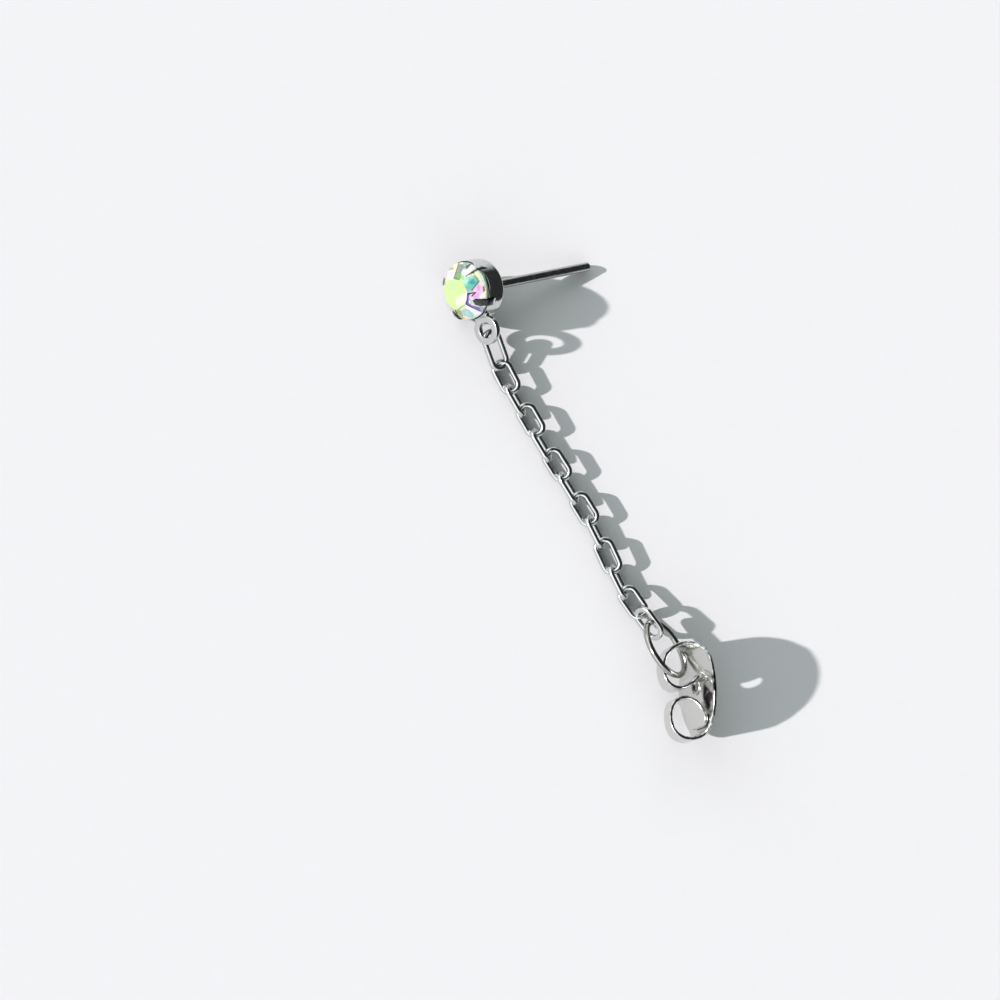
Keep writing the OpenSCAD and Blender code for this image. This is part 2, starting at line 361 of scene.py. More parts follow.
def build_chain():
    bm = bmesh.new()
    for i, (x, y, z, lean, length, width, dip, yaw) in enumerate(LINKS):
        a = LINKS[max(i - 1, 0)]
        b = LINKS[min(i + 1, len(LINKS) - 1)]
        if yaw is None:
            yaw = math.degrees(math.atan2(b[0] - a[0], a[1] - b[1]))
        add_link(bm, x + SHIFT.x, y + SHIFT.y, z, lean, length, width, dip, yaw, 20 if i % 2 else 52)
    ob = make_object("chain_links", bm, METAL_LINK, sharp=60)
    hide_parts("chain")
    return ob


build_chain()

# ------------------------------------------------------------------ jump ring

def build_ring():
    bm = bmesh.new()
    n = 160
    gap = math.radians(0.9)          # the cut where the ring was opened
    start = math.radians(100)
    cs, us, vs = [], [], []
    R = RING_M.to_3x3()
    for k in range(n + 1):
        a = start + gap + (2 * math.pi - 2 * gap) * k / n
        d = Vector((math.cos(a), math.sin(a), 0))
        cs.append(RING_M @ (d * RING_R))
        us.append(R @ d)
        vs.append(R @ Vector((0, 0, 1)))
    full = [(RING_W / 2 * math.cos(2 * math.pi * j / 20), RING_W / 2 * math.sin(2 * math.pi * j / 20)) for j in range(20)]

    def section(i):
        k = 1.0
        if i == 0 or i == n:
            k = 0.86
        return [(a * k, b * k) for a, b in full]
    sweep(bm, cs, us, vs, section, closed=False)
    ob = make_object("jump_ring_wire", bm, METAL_RING, sharp=50)
    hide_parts("jump_ring")
    return ob


build_ring()

# ------------------------------------------------------------------ clutch

# middle line of the strip: distance from the plate's outer face, place along the plate,
# reach to the near edge and to the far edge
UPPER = [
    (-0.47, 0.62, 1.15, 1.12), (-0.63, 0.41, 0.92, 0.92), (-0.92, 0.16, 0.72, 0.74),
    (-1.38, -0.08, 0.64, 0.68), (-1.93, -0.18, 0.65, 0.65), (-2.39, 0.00, 0.60, 0.60),
    (-2.68, 0.34, 0.53, 0.53), (-2.81, 0.80, 0.48, 0.48), (-2.83, 1.29, 0.47, 0.47),
    (-2.73, 1.71, 0.47, 0.47), (-2.56, 2.09, 0.49, 0.49), (-2.28, 2.40, 0.53, 0.53),
    (-1.94, 2.66, 0.60, 0.60), (-1.58, 2.83, 0.70, 0.66), (-1.23, 2.89, 0.90, 0.68),
    (-0.89, 2.85, 1.12, 0.70), (-0.54, 2.69, 1.36, 0.70), (-0.31, 2.46, 1.58, 0.70),
    (-0.17, 2.17, 1.78, 0.83),
]
FLAT = [
    (-0.12, 1.70, 2.09, 1.47), (-0.12, 1.10, 2.27, 2.10), (-0.12, 0.50, 2.37, 2.36),
    (-0.12, -0.10, 2.39, 2.39), (-0.12, -0.70, 2.34, 2.34), (-0.12, -1.30, 2.22, 2.22),
    (-0.12, -1.90, 2.01, 2.01), (-0.12, -2.40, 1.74, 1.74),
]
LOWER = [
    (-0.13, -2.70, 1.50, 1.50), (-0.18, -3.00, 1.27, 1.27), (-0.34, -3.27, 1.03, 1.03),
    (-0.61, -3.49, 0.86, 0.86), (-1.00, -3.61, 0.72, 0.72), (-1.41, -3.62, 0.63, 0.63),
    (-1.83, -3.53, 0.57, 0.57), (-2.19, -3.30, 0.53, 0.53), (-2.44, -2.96, 0.48, 0.48),
    (-2.56, -2.53, 0.46, 0.46), (-2.57, -2.05, 0.45, 0.45), (-2.50, -1.65, 0.48, 0.48),
    (-2.32, -1.28, 0.54, 0.54), (-2.06, -1.01, 0.60, 0.60), (-1.71, -0.87, 0.68, 0.68),
    (-1.35, -0.86, 0.80, 0.80), (-1.06, -0.99, 0.95, 0.95), (-0.80, -1.26, 1.10, 1.10),
    (-0.60, -1.60, 1.22, 1.15), (-0.48, -1.96, 1.32, 1.15), (-0.43, -2.28, 1.37, 1.02),
    (-0.42, -2.58, 1.28, 0.78), (-0.45, -2.84, 1.10, 0.50),
]


def smoothstep(a, b, x):
    """0 at a, 1 at b, whichever of the two is larger."""
    t = min(1.0, max(0.0, (x - a) / (b - a)))
    return t * t * (3 - 2 * t)


# pressed hollow in the plate's inner face by its near edge: middle, half sizes, depth
HOLLOW_AT, HOLLOW_HALF, HOLLOW_DEEP = (-0.85, 1.56), (1.45, 0.92), 0.11


def hollow(along_plate, reach_near):
    a = (along_plate - HOLLOW_AT[0]) / HOLLOW_HALF[0]
    b = (reach_near - HOLLOW_AT[1]) / HOLLOW_HALF[1]
    return HOLLOW_DEEP * smoothstep(1.0, 0.25, math.hypot(a, b))


def build_clutch():
    rows = UPPER + FLAT + LOWER
    line = catmull([(a, b, c) for a, b, c, d in rows], 5)
    reach = catmull([(c, d, 0) for a, b, c, d in rows], 5)
    n = len(line)
    bm = bmesh.new()
    cs, us, vs = [], [], []
    for i in range(n):
        t = line[min(i + 1, n - 1)] - line[max(i - 1, 0)]
        t.z = 0
        t.normalize()
        cs.append(Vector((line[i].x, line[i].y, 0)))
        us.append(Vector((-t.y, t.x, 0)))
        vs.append(Vector((0, 0, 1)))
    along = [0.0]
    for i in range(1, n):
        along.append(along[-1] + (cs[i] - cs[i - 1]).length)
    cuts = 26
    plate = range(5 * (len(UPPER) - 1), 5 * (len(UPPER) + len(FLAT)))

    def section(i):
        near, far = reach[i].x, reach[i].y
        ends = min(along[i], along[-1] - along[i])
        k = 0.84 + 0.16 * min(1.0, math.sqrt(max(0.0, ends) / 0.25))
        near, far = near * k, far * k
        r = STRIP_T * 0.34
        ht = STRIP_T / 2

        def corner(cx, cy, a0):
            return [(cx + r * math.cos(math.radians(a0 + 90 * q / 4)),
                     cy + r * math.sin(math.radians(a0 + 90 * q / 4))) for q in range(5)]
        span = near + far - 2 * r
        side = [-far + r + span * q / cuts for q in range(1, cuts)]
        out = corner(ht - r, near - r, 0) + corner(-ht + r, near - r, 90)
        out += [(-ht + (hollow(cs[i].y, b) if i in plate else 0.0), b) for b in reversed(side)]
        out += corner(-ht + r, -far + r, 180) + corner(ht - r, -far + r, 270)
        out += [(ht, b) for b in side]
        return out
    sweep(bm, cs, us, vs, section, closed=False)
    bmesh.ops.remove_doubles(bm, verts=bm.verts, dist=1e-5)
    bmesh.ops.recalc_face_normals(bm, faces=bm.faces)
    me = bpy.data.meshes.new("strip_tmp")
    bm.to_mesh(me); bm.free()
    strip = bpy.data.objects.new("strip_tmp", me)
    bpy.context.scene.collection.objects.link(strip)
    # the punched hole, then its collar
    cut = bmesh.new()
    bmesh.ops.create_cone(cut, cap_ends=True, segments=64, radius1=0.50, radius2=0.50, depth=0.6,
                          matrix=rot("Y", 90))
    mc = bpy.data.meshes.new("cut_tmp"); cut.to_mesh(mc); cut.free()
    cutter = bpy.data.objects.new("cut_tmp", mc)
    bpy.context.scene.collection.objects.link(cutter)
    mod = strip.modifiers.new("hole", "BOOLEAN")
    mod.operation = "DIFFERENCE"; mod.solver = "EXACT"; mod.object = cutter
    dg = bpy.context.evaluated_depsgraph_get()
    done = bpy.data.meshes.new_from_object(strip.evaluated_get(dg))
    bm = bmesh.new(); bm.from_mesh(done)
    bpy.data.objects.remove(strip); bpy.data.objects.remove(cutter)
    # collar: a smooth flared rim drawn through the hole toward the scrolls
    prof = [(0.43, 0.29), (0.43, 0.09), (0.44, 0.045), (0.47, 0.012), (0.51, 0.0), (0.55, 0.012),
            (0.55, 0.20), (0.58, 0.243), (0.56, 0.262), (0.545, 0.29), (0.52, 0.312), (0.48, 0.318), (0.445, 0.312)]
    lathe(bm, prof, 72, rot("Y", -90))
    for v in bm.verts:
        v.co = NUT @ v.co
    ob = make_object("clutch_strip", bm, METAL_STRIP_PAINTED_DARK, sharp=40)
    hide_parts("clutch")
    return ob


def paint_strip_dark_reflections():
    """Painted dark reflection in the plate's hollow by its near edge, and patchy painted dark reflection on the cut
    edges.
    """
    nt = METAL_STRIP_PAINTED_DARK.node_tree
    bsdf = nt.nodes["Principled BSDF"]
    base = bsdf.inputs["Base Color"].links[0].from_socket
    turn = NUT.to_3x3()
    co = node(nt, "ShaderNodeTexCoord")
    rel = node(nt, "ShaderNodeVectorMath", operation="SUBTRACT")
    rel.inputs[1].default_value = NUT.translation * MM
    nt.links.new(co.outputs["Object"], rel.inputs[0])

    def along(k):
        d = node(nt, "ShaderNodeVectorMath", operation="DOT_PRODUCT")
        d.inputs[1].default_value = turn.col[k] * 1000
        nt.links.new(rel.outputs[0], d.inputs[0])
        return d.outputs["Value"]

    def ramp(source, lo, hi, a, b):
        m = node(nt, "ShaderNodeMapRange", interpolation_type="SMOOTHSTEP")
        m.inputs["From Min"].default_value = lo
        m.inputs["From Max"].default_value = hi
        m.inputs["To Min"].default_value = a
        m.inputs["To Max"].default_value = b
        nt.links.new(source, m.inputs["Value"])
        return m.outputs[0]

    def times(a, b):
        m = node(nt, "ShaderNodeMath", operation="MULTIPLY")
        nt.links.new(a, m.inputs[0])
        nt.links.new(b, m.inputs[1])
        return m.outputs[0]

    # the hollow: a lens of painted dark reflection on the plate's inner face, from its near edge inward
    at = node(nt, "ShaderNodeCombineXYZ")
    nt.links.new(along(1), at.inputs[0])
    nt.links.new(along(2), at.inputs[1])
    fit = node(nt, "ShaderNodeMapping")
    fit.inputs["Scale"].default_value = (1 / 1.42, 1 / 1.62, 1)
    fit.inputs["Location"].default_value = (0.85 / 1.42, -2.25 / 1.62, 0)
    nt.links.new(at.outputs[0], fit.inputs["Vector"])
    far = node(nt, "ShaderNodeVectorMath", operation="LENGTH")
    nt.links.new(fit.outputs[0], far.inputs[0])
    inner = node(nt, "ShaderNodeMath", operation="COMPARE")
    inner.inputs[1].default_value = -0.18
    inner.inputs[2].default_value = 0.09
    nt.links.new(along(0), inner.inputs[0])
    lens = times(ramp(far.outputs["Value"], 0.80, 1.02, 1.0, 0.0), inner.outputs[0])
    cloud = node(nt, "ShaderNodeTexNoise")
    cloud.inputs["Scale"].default_value = 1500.0
    cloud.inputs["Detail"].default_value = 1.0
    nt.links.new(co.outputs["Object"], cloud.inputs["Vector"])
    depth = times(lens, ramp(cloud.outputs["Fac"], 0.40, 0.60, 0.90, 0.30))
    # the cut edges that face the near side: a patchy painted dark reflection
    geo = node(nt, "ShaderNodeNewGeometry")
    up = node(nt, "ShaderNodeVectorMath", operation="DOT_PRODUCT")
    up.inputs[1].default_value = turn.col[2]
    nt.links.new(geo.outputs["Normal"], up.inputs[0])
    grain = node(nt, "ShaderNodeTexNoise")
    grain.inputs["Scale"].default_value = 3800.0
    grain.inputs["Detail"].default_value = 2.0
    nt.links.new(co.outputs["Object"], grain.inputs["Vector"])
    edge = times(ramp(up.outputs["Value"], 0.30, 0.80, 0.0, 1.0), ramp(grain.outputs["Fac"], 0.42, 0.58, 0.62, 0.0))
    # what is left of the metal's colour after the painted dark reflections
    keep = times(ramp(depth, 0.0, 1.0, 1.0, 0.0), ramp(edge, 0.0, 1.0, 1.0, 0.0))
    tone = node(nt, "ShaderNodeVectorMath", operation="SCALE")
    nt.links.new(base, tone.inputs[0])
    nt.links.new(keep, tone.inputs["Scale"])
    nt.links.new(tone.outputs[0], bsdf.inputs["Base Color"])


build_clutch()
paint_strip_dark_reflections()

# ------------------------------------------------------------------ setting

def build_setting():
    bm = bmesh.new()
    # cup: thin drawn wall, round back edge, back plate; the rim is scalloped between the claws
    claw_at = [math.radians(a) for a in CLAW_AT]

    def rim(a, r, z):
        if z < 0.45:
            near = min(abs((a - c + math.pi) % (2 * math.pi) - math.pi) for c in claw_at)
            drop = 0.10 * smoothstep(0.12, 0.55, near)
            z = z + drop * (1 - smoothstep(0.05, 0.45, z))
        return r, z
    w = 0.14
    prof = [(CUP_R, 0.125), (CUP_R, 0.35), (CUP_R, 0.8), (CUP_R, 1.2), (CUP_R, CUP_DEPTH - 0.32)]
    for k in range(1, 7):
        a = math.radians(90 * k / 6)
        prof.append((CUP_R - 0.32 + 0.32 * math.cos(a), CUP_DEPTH - 0.32 + 0.32 * math.sin(a)))
    prof += [(1.2, CUP_DEPTH), (0.60, CUP_DEPTH), (0.48, CUP_DEPTH + 0.04), (0.39, CUP_DEPTH + 0.12), (POST_R, CUP_DEPTH + 0.26)]
    # post with a slightly rounded, plain tip
    for s in (0.6, 1.5, 3.0, 5.0, 7.0, 9.0, 10.5, POST_LEN - 0.17):
        prof.append((POST_R, CUP_DEPTH + s))
    for k in range(1, 6):
        a = math.radians(90 * k / 5)
        prof.append((POST_R - 0.12 + 0.12 * math.cos(a), CUP_DEPTH + POST_LEN - 0.132 + 0.12 * math.sin(a)))
    prof.append((0.0, CUP_DEPTH + POST_LEN - 0.012))
    inner = [(0.0, CUP_DEPTH - 0.22), (1.3, CUP_DEPTH - 0.22), (1.62, CUP_DEPTH - 0.27),
             (CUP_R - w - 0.03, CUP_DEPTH - 0.5), (CUP_R - w, 1.1), (CUP_R - w, 0.6), (CUP_R - w, 0.35),
             (CUP_R - w, 0.25), (CUP_R - 0.075, 0.17), (CUP_R - 0.04, 0.125), (CUP_R - 0.015, 0.11)]
    lathe(bm, prof + inner, 160, STUD, closed=True, radial=rim)
    # claws: pointed tongues bent over the crown
    slope = (STONE_R - TABLE_R)
    nr, nz = CROWN / math.hypot(slope, CROWN), slope / math.hypot(slope, CROWN)
    for c in claw_at:
        M = STUD @ Matrix.Rotation(c, 4, "Z")
        R = M.to_3x3()
        pts = [(CUP_R - 0.01, 0, 0.75), (CUP_R + 0.02, 0, 0.35), (CUP_R + 0.035, 0, 0.08)]
        for g, lift in ((0.03, 0.100), (0.22, 0.105), (0.42, 0.098), (0.62, 0.070)):
            pts.append((STONE_R - slope * g + nr * lift, 0, -CROWN * g - nz * lift))
        line = catmull(pts, 5)
        n = len(line)
        cs, us, vs = [], [], []
        for i in range(n):
            t = (line[min(i + 1, n - 1)] - line[max(i - 1, 0)]).normalized()
            u = Vector((-t.z, 0, t.x))
            cs.append(M @ line[i]); us.append(R @ u); vs.append(R @ Vector((0, 1, 0)))

        def section(i):
            f = i / (n - 1)
            wd = 0.56 * (1 - 0.10 * f) if f < 0.45 else 0.56 * (0.955 - 0.80 * ((f - 0.45) / 0.55) ** 1.4)
            th = 0.13 * (1 - 0.35 * f)
            k = 0.5 + 0.5 * smoothstep(0, 0.12, f)
            out = []
            m = 14
            for j in range(m):
                a = 2 * math.pi * j / m
                ca, sa = math.cos(a), math.sin(a)
                # crowned on the outside, flat on the stone's side
                x = abs(ca) ** 0.75 * math.copysign(1, ca) * th / 2 * k
                y = abs(sa) ** 0.65 * math.copysign(1, sa) * wd / 2
                out.append((x, y))
            return out
        sweep(bm, cs, us, vs, section, closed=False)
    # loop tab: a flat stamped ring with softened edges and its neck
    M = STUD @ rot("Z", -90 + TAB_DROP) @ Matrix.Translation((TAB_REACH, 0, TAB_S))
    e, t = 0.07, TAB_T / 2
    prof = [(TAB_HOLE + e, -t), (TAB_R - e, -t), (TAB_R - 0.3 * e, -t + 0.3 * e), (TAB_R, -t + e), (TAB_R, t - e),
            (TAB_R - 0.3 * e, t - 0.3 * e), (TAB_R - e, t), (TAB_HOLE + e, t), (TAB_HOLE + 0.3 * e, t - 0.3 * e),
            (TAB_HOLE, t - e), (TAB_HOLE, -t + e), (TAB_HOLE + 0.3 * e, -t + 0.3 * e)]
    lathe(bm, prof, 96, M)
    # neck between ring and cup, flared on both sides
    M2 = STUD @ rot("Z", -90 + TAB_DROP) @ Matrix.Translation((0, 0, TAB_S))
    R2 = M2.to_3x3()
    cs, us, vs = [], [], []
    xs = [1.88, 1.98, 2.06, 2.14, 2.22, 2.28]
    half = [0.66, 0.56, 0.52, 0.51, 0.52, 0.53]
    for x in xs:
        cs.append(M2 @ Vector((x, 0, 0))); us.append(R2 @ Vector((0, 1, 0))); vs.append(R2 @ Vector((0, 0, 1)))
    sweep(bm, cs, us, vs, lambda i: rounded_section(2 * half[i], TAB_T - 0.004, 0.06, 3), closed=False)
    ob = make_object("setting_metal", bm, [METAL, METAL_POST, METAL_CLAW_PAINTED_DARK], sharp=38)
    back = STUD.inverted()
    for p in ob.data.polygons:
        c = back @ (p.center / MM)
        if c.z > CUP_DEPTH + 0.2:
            p.material_index = 1
        elif c.z < 0.5 and math.hypot(c.x, c.y) > 1.3:
            a = math.degrees(math.atan2(c.y, c.x)) % 360
            # the claws at 225 and 321 degrees and the rim beside them get the painted dark reflection
            if (abs(a - 225) < 16 or abs(a - 321) < 16) and (c.z < 0.07 or math.hypot(c.x, c.y) > CUP_R + 0.01):
                p.material_index = 2
    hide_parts("setting")
    return ob


build_setting()

# ------------------------------------------------------------------ stone

def build_stone():
    bm = bmesh.new()
    bmesh.ops.create_cone(bm, cap_ends=True, segments=96, radius1=STONE_R, radius2=STONE_R, depth=4.0)
    planes = []
    table_in = TABLE_R * math.cos(math.radians(22.5))

    def cut(normal, point):
        g = list(bm.verts) + list(bm.edges) + list(bm.faces)
        bmesh.ops.bisect_plane(bm, geom=g, plane_co=point, plane_no=normal, clear_outer=True, dist=1e-5)
        bmesh.ops.remove_doubles(bm, verts=bm.verts, dist=1e-4)
        edges = [x for x in bm.edges if x.is_boundary]
        if edges:
            bmesh.ops.holes_fill(bm, edges=edges, sides=0)
    cut(Vector((0, 0, -1)), Vector((0, 0, -CROWN)))
    off = 12.0
    for k in range(8):                       # main crown facets, one on each side of the table
        a = math.radians(45 * k + off)
        d = Vector((math.cos(a), math.sin(a), 0))
        p = d * table_in + Vector((0, 0, -CROWN))
        q = d * STONE_R + Vector((0, 0, -0.06))
        t = (q - p).normalized()
        nrm = Vector((-t.z * d.x, -t.z * d.y, 0)) * -1 + Vector((0, 0, -1)) * math.hypot(t.x, t.y)
        nrm = Vector((d.x * t.z, d.y * t.z, -math.hypot(t.x, t.y)))
        cut(nrm.normalized(), p)
    for k in range(8):                       # small facets by the girdle, between the main ones
        a = math.radians(45 * k + 22.5 + off)
        d = Vector((math.cos(a), math.sin(a), 0))
        p = d * STONE_R + Vector((0, 0, -0.04))
        q = d * (TABLE_R + 0.24) + Vector((0, 0, -CROWN * 0.80))
        t = (q - p).normalized()
        nrm = Vector((d.x * abs(t.z), d.y * abs(t.z), -math.hypot(t.x, t.y)))
        cut(nrm.normalized(), p)
    for k in range(8):                       # the back
        a = math.radians(45 * k + off)
        d = Vector((math.cos(a), math.sin(a), 0))
        p = d * STONE_R + Vector((0, 0, 0.08))
        q = Vector((0, 0, 1.42))
        t = (q - p).normalized()
        nrm = Vector((d.x * abs(t.z), d.y * abs(t.z), math.hypot(t.x, t.y)))
        cut(nrm.normalized(), p)
    return bm


# tones of the painted flashes, the coating's colours with painted reflections, glints and dark spots, as they look in
# the clear light (0 to 255)
PAINTED_FLASH_TONES = {
    "mint": (205, 226, 205), "lime": (214, 251, 158), "lime_green": (203, 252, 168),
    "lime_pale": (234, 251, 218), "white": (251, 251, 248), "blush": (247, 226, 218),
    "pink": (252, 220, 240), "peach": (248, 228, 196), "straw": (228, 232, 168), "olive": (158, 166, 92),
    "dark_olive": (92, 98, 58), "straw_pale": (240, 243, 200), "slate": (118, 136, 138),
    "leaf": (110, 156, 88), "lime_mid": (158, 208, 112), "sage": (146, 174, 156), "ink_teal": (42, 66, 66),
    "pale_grey": (224, 228, 220), "aqua": (122, 206, 186), "mint_bright": (160, 240, 192),
    "teal": (88, 172, 170), "mist": (176, 190, 204), "cream": (240, 234, 222), "orchid": (246, 206, 246),
    "rose": (234, 184, 214), "magenta": (242, 182, 252), "brown": (150, 124, 112), "plum": (84, 44, 68),
    "orchid_pale": (246, 228, 240), "violet": (112, 92, 178), "lilac": (192, 172, 242),
    "ink_violet": (62, 44, 112), "ink": (26, 20, 26), "mauve": (172, 162, 188), "sea": (168, 214, 204),
    "sky": (176, 226, 232), "moss": (150, 176, 96),
}

# the painted flashes, each an outline seen along the stone's axis, in millimetres; later ones lie over
# earlier ones
PAINTED_FLASHES = [
    ("lime", ((-0.30, 0.88), (-0.90, 0.52), (-0.92, 0.04), (-0.98, -0.28), (-0.74, -0.68), (-0.36, -0.98), (0.54, -0.98), (1.14, -0.54), (1.06, -0.06), (1.78, 0.78), (1.52, 1.18), (0.36, 1.06))),
    ("lime_green", ((0.12, 0.96), (-0.44, 0.68), (-0.14, 0.16), (0.48, 0.36))),
    ("lime_pale", ((0.10, -0.24), (-0.96, -0.34), (-0.74, -0.68), (-0.36, -0.98), (0.42, -0.76))),
    ("white", ((-0.54, -0.46), (-1.00, -0.26), (-0.72, -0.74), (-0.36, -0.96))),
    ("blush", ((0.90, 1.74), (0.42, 1.78), (-0.44, 1.38), (-0.30, 0.88), (0.36, 1.06), (1.52, 1.18), (1.58, 1.16), (1.30, 1.46))),
    ("pink", ((0.74, 1.80), (-0.18, 1.48), (-0.22, 1.10), (0.24, 1.30))),
    ("peach", ((1.28, 1.46), (0.76, 1.44), (0.36, 1.06), (1.54, 1.20))),
    ("straw", ((0.82, 1.76), (0.46, 1.90), (0.20, 1.94), (-0.44, 1.90), (-0.48, 1.38), (0.42, 1.76))),
    ("olive", ((0.80, 1.78), (0.42, 1.90), (0.10, 1.88), (-0.16, 1.58), (0.38, 1.72))),
    ("dark_olive", ((-0.42, 1.90), (-0.52, 1.88), (-0.54, 1.04), (-0.34, 0.84), (-0.34, 0.98))),
    ("straw_pale", ((-0.50, 1.88), (-0.76, 1.80), (-1.02, 1.42), (-0.82, 1.50))),
    ("slate", ((-0.52, 1.76), (-0.88, 1.60), (-1.00, 1.28), (-0.88, 1.10), (-0.56, 1.28))),
    ("leaf", ((-0.54, 1.28), (-0.88, 1.12), (-0.88, 0.70), (-0.74, 0.60), (-0.36, 0.84))),
    ("lime_mid", ((-0.84, 0.88), (-1.00, 0.84), (-1.06, 0.46), (-0.90, 0.54))),
    ("sage", ((-0.82, 1.78), (-1.30, 1.46), (-1.06, 1.42), (-1.16, 1.08), (-1.00, 1.26))),
    ("ink_teal", ((-1.06, 1.42), (-1.34, 1.42), (-1.58, 1.14), (-1.44, 1.04), (-1.26, 1.04), (-1.12, 1.22))),
    ("pale_grey", ((-1.42, 1.32), (-1.56, 1.18), (-1.40, 1.06), (-1.20, 0.92), (-1.12, 1.06))),
    ("white", ((-0.98, 0.94), (-1.20, 1.02), (-1.52, 1.18), (-1.14, 0.72), (-1.04, 0.74))),
    ("dark_olive", ((-1.54, 1.20), (-1.62, 1.10), (-1.16, 0.62), (-1.06, 0.68))),
    ("straw_pale", ((-1.64, 1.06), (-1.72, 0.78), (-1.80, 0.40), (-1.80, -0.18), (-1.68, 0.00), (-1.48, 0.46), (-1.16, 0.64))),
    ("olive", ((-1.44, 0.84), (-1.50, 0.84), (-1.72, 0.18), (-1.66, 0.14))),
    ("sage", ((-1.36, 0.62), (-1.62, 0.48), (-1.76, -0.04), (-1.66, -0.04), (-1.50, 0.36))),
    ("aqua", ((-1.04, 0.48), (-1.18, 0.60), (-1.38, 0.56), (-1.56, 0.38), (-1.68, 0.00), (-1.40, -0.24), (-1.16, -0.36), (-1.00, -0.24), (-0.94, 0.02))),
    ("mint_bright", ((-1.04, 0.50), (-1.22, 0.42), (-1.14, 0.02), (-1.00, 0.08))),
    ("teal", ((-1.32, 0.48), (-1.54, 0.26), (-1.52, -0.02), (-1.32, -0.02), (-1.24, 0.22))),
    ("mist", ((-0.98, -0.08), (-1.18, -0.28), (-1.02, -0.40), (-0.96, -0.30))),
    ("slate", ((-1.66, 0.06), (-1.68, -0.04), (-1.18, -0.42), (-1.16, -0.32))),
    ("cream", ((-1.76, 0.06), (-1.84, -0.24), (-1.84, -0.64), (-1.50, -1.26), (-1.28, -1.14), (-1.32, -0.94), (-1.56, -0.72), (-1.66, -0.40), (-1.66, -0.10))),
    ("orchid", ((-1.66, -0.06), (-1.70, -0.30), (-1.66, -0.54), (-1.56, -0.72), (-1.30, -0.94), (-1.06, -0.98), (-0.94, -0.86), (-0.90, -0.72), (-1.22, -0.62), (-1.16, -0.44), (-1.32, -0.30))),
    ("rose", ((-1.58, -0.12), (-1.64, -0.30), (-1.54, -0.54), (-1.40, -0.54), (-1.46, -0.28))),
    ("magenta", ((-1.04, -0.78), (-1.28, -0.62), (-1.44, -0.66), (-1.32, -0.90), (-1.08, -0.98))),
    ("brown", ((-1.72, -0.36), (-1.80, -0.40), (-1.72, -0.72), (-1.60, -0.74))),
    ("white", ((-1.40, -0.82), (-1.58, -0.82), (-1.52, -1.08), (-1.30, -1.14), (-1.28, -0.98))),
    ("olive", ((-1.84, -0.28), (-1.88, -0.30), (-1.78, -0.78), (-1.56, -1.18), (-1.50, -1.14), (-1.76, -0.74))),
    ("plum", ((-0.98, -0.42), (-1.28, -0.54), (-1.36, -0.56), (-1.18, -0.68), (-1.02, -0.76), (-1.06, -0.64), (-1.20, -0.60), (-0.96, -0.50))),
    ("cream", ((-1.00, -0.58), (-1.14, -0.60), (-1.00, -0.70))),
    ("orchid_pale", ((-0.90, -0.66), (-1.04, -0.82), (-0.90, -0.96), (-0.84, -0.90))),
    ("violet", ((-0.94, -0.42), (-1.02, -0.54), (-0.84, -0.76), (-0.80, -0.96), (-0.58, -1.16), (-0.82, -1.50), (-0.76, -1.80), (-0.60, -1.76), (-0.50, -1.42), (-0.42, -1.00), (-0.72, -0.74))),
    ("lilac", ((-0.86, -0.70), (-0.82, -0.92), (-0.60, -1.14), (-0.56, -1.04))),
    ("white", ((-0.68, -0.88), (-0.80, -0.88), (-0.70, -1.04), (-0.60, -1.02))),
    ("ink_violet", ((-0.94, -0.38), (-1.00, -0.44), (-0.72, -0.82), (-0.48, -1.02), (-0.54, -1.34), (-0.46, -1.42), (-0.38, -0.98), (-0.68, -0.74))),
    ("ink", ((-0.86, -0.96), (-1.08, -0.94), (-1.30, -1.12), (-1.52, -1.22), (-1.18, -1.56), (-0.92, -1.48), (-0.76, -1.26))),
    ("mauve", ((-0.84, -1.44), (-1.02, -1.60), (-1.06, -1.64), (-0.76, -1.80), (-0.72, -1.70))),
    ("white", ((-0.36, -1.02), (-0.46, -1.34), (-0.62, -1.78), (-0.48, -1.90), (0.00, -1.80), (-0.08, -1.50), (-0.04, -1.16))),
    ("sea", ((0.32, -1.12), (-0.08, -1.20), (-0.28, -1.36), (-0.12, -1.78), (0.24, -1.88), (0.54, -1.80), (0.60, -1.46))),
    ("sky", ((0.12, -1.30), (-0.14, -1.38), (0.14, -1.66), (0.38, -1.50))),
    ("straw_pale", ((0.36, -1.04), (-0.34, -1.00), (-0.28, -1.16), (-0.02, -1.22), (0.34, -1.14))),
    ("olive", ((0.50, -1.02), (-0.34, -0.98), (-0.30, -1.04), (0.44, -1.08))),
    ("moss", ((1.24, -0.58), (0.52, -1.02), (0.34, -1.14), (0.72, -1.48), (0.88, -1.74), (1.24, -1.50), (1.34, -1.08), (1.84, -0.66))),
    ("olive", ((0.74, -1.04), (0.48, -1.12), (0.86, -1.64), (1.10, -1.56))),
    ("peach", ((0.74, -1.48), (0.44, -1.56), (0.44, -1.82), (0.78, -1.78), (1.04, -1.66))),
]


def linear(c):
    c = c / 255.0
    return c / 12.92 if c <= 0.04045 else ((c + 0.055) / 1.055) ** 2.4


def inside(poly, x, y):
    hit = False
    for k in range(len(poly)):
        x0, y0 = poly[k]
        x1, y1 = poly[k - 1]
        if (y0 > y) != (y1 > y) and x < (x1 - x0) * (y - y0) / (y1 - y0) + x0:
            hit = not hit
    return hit


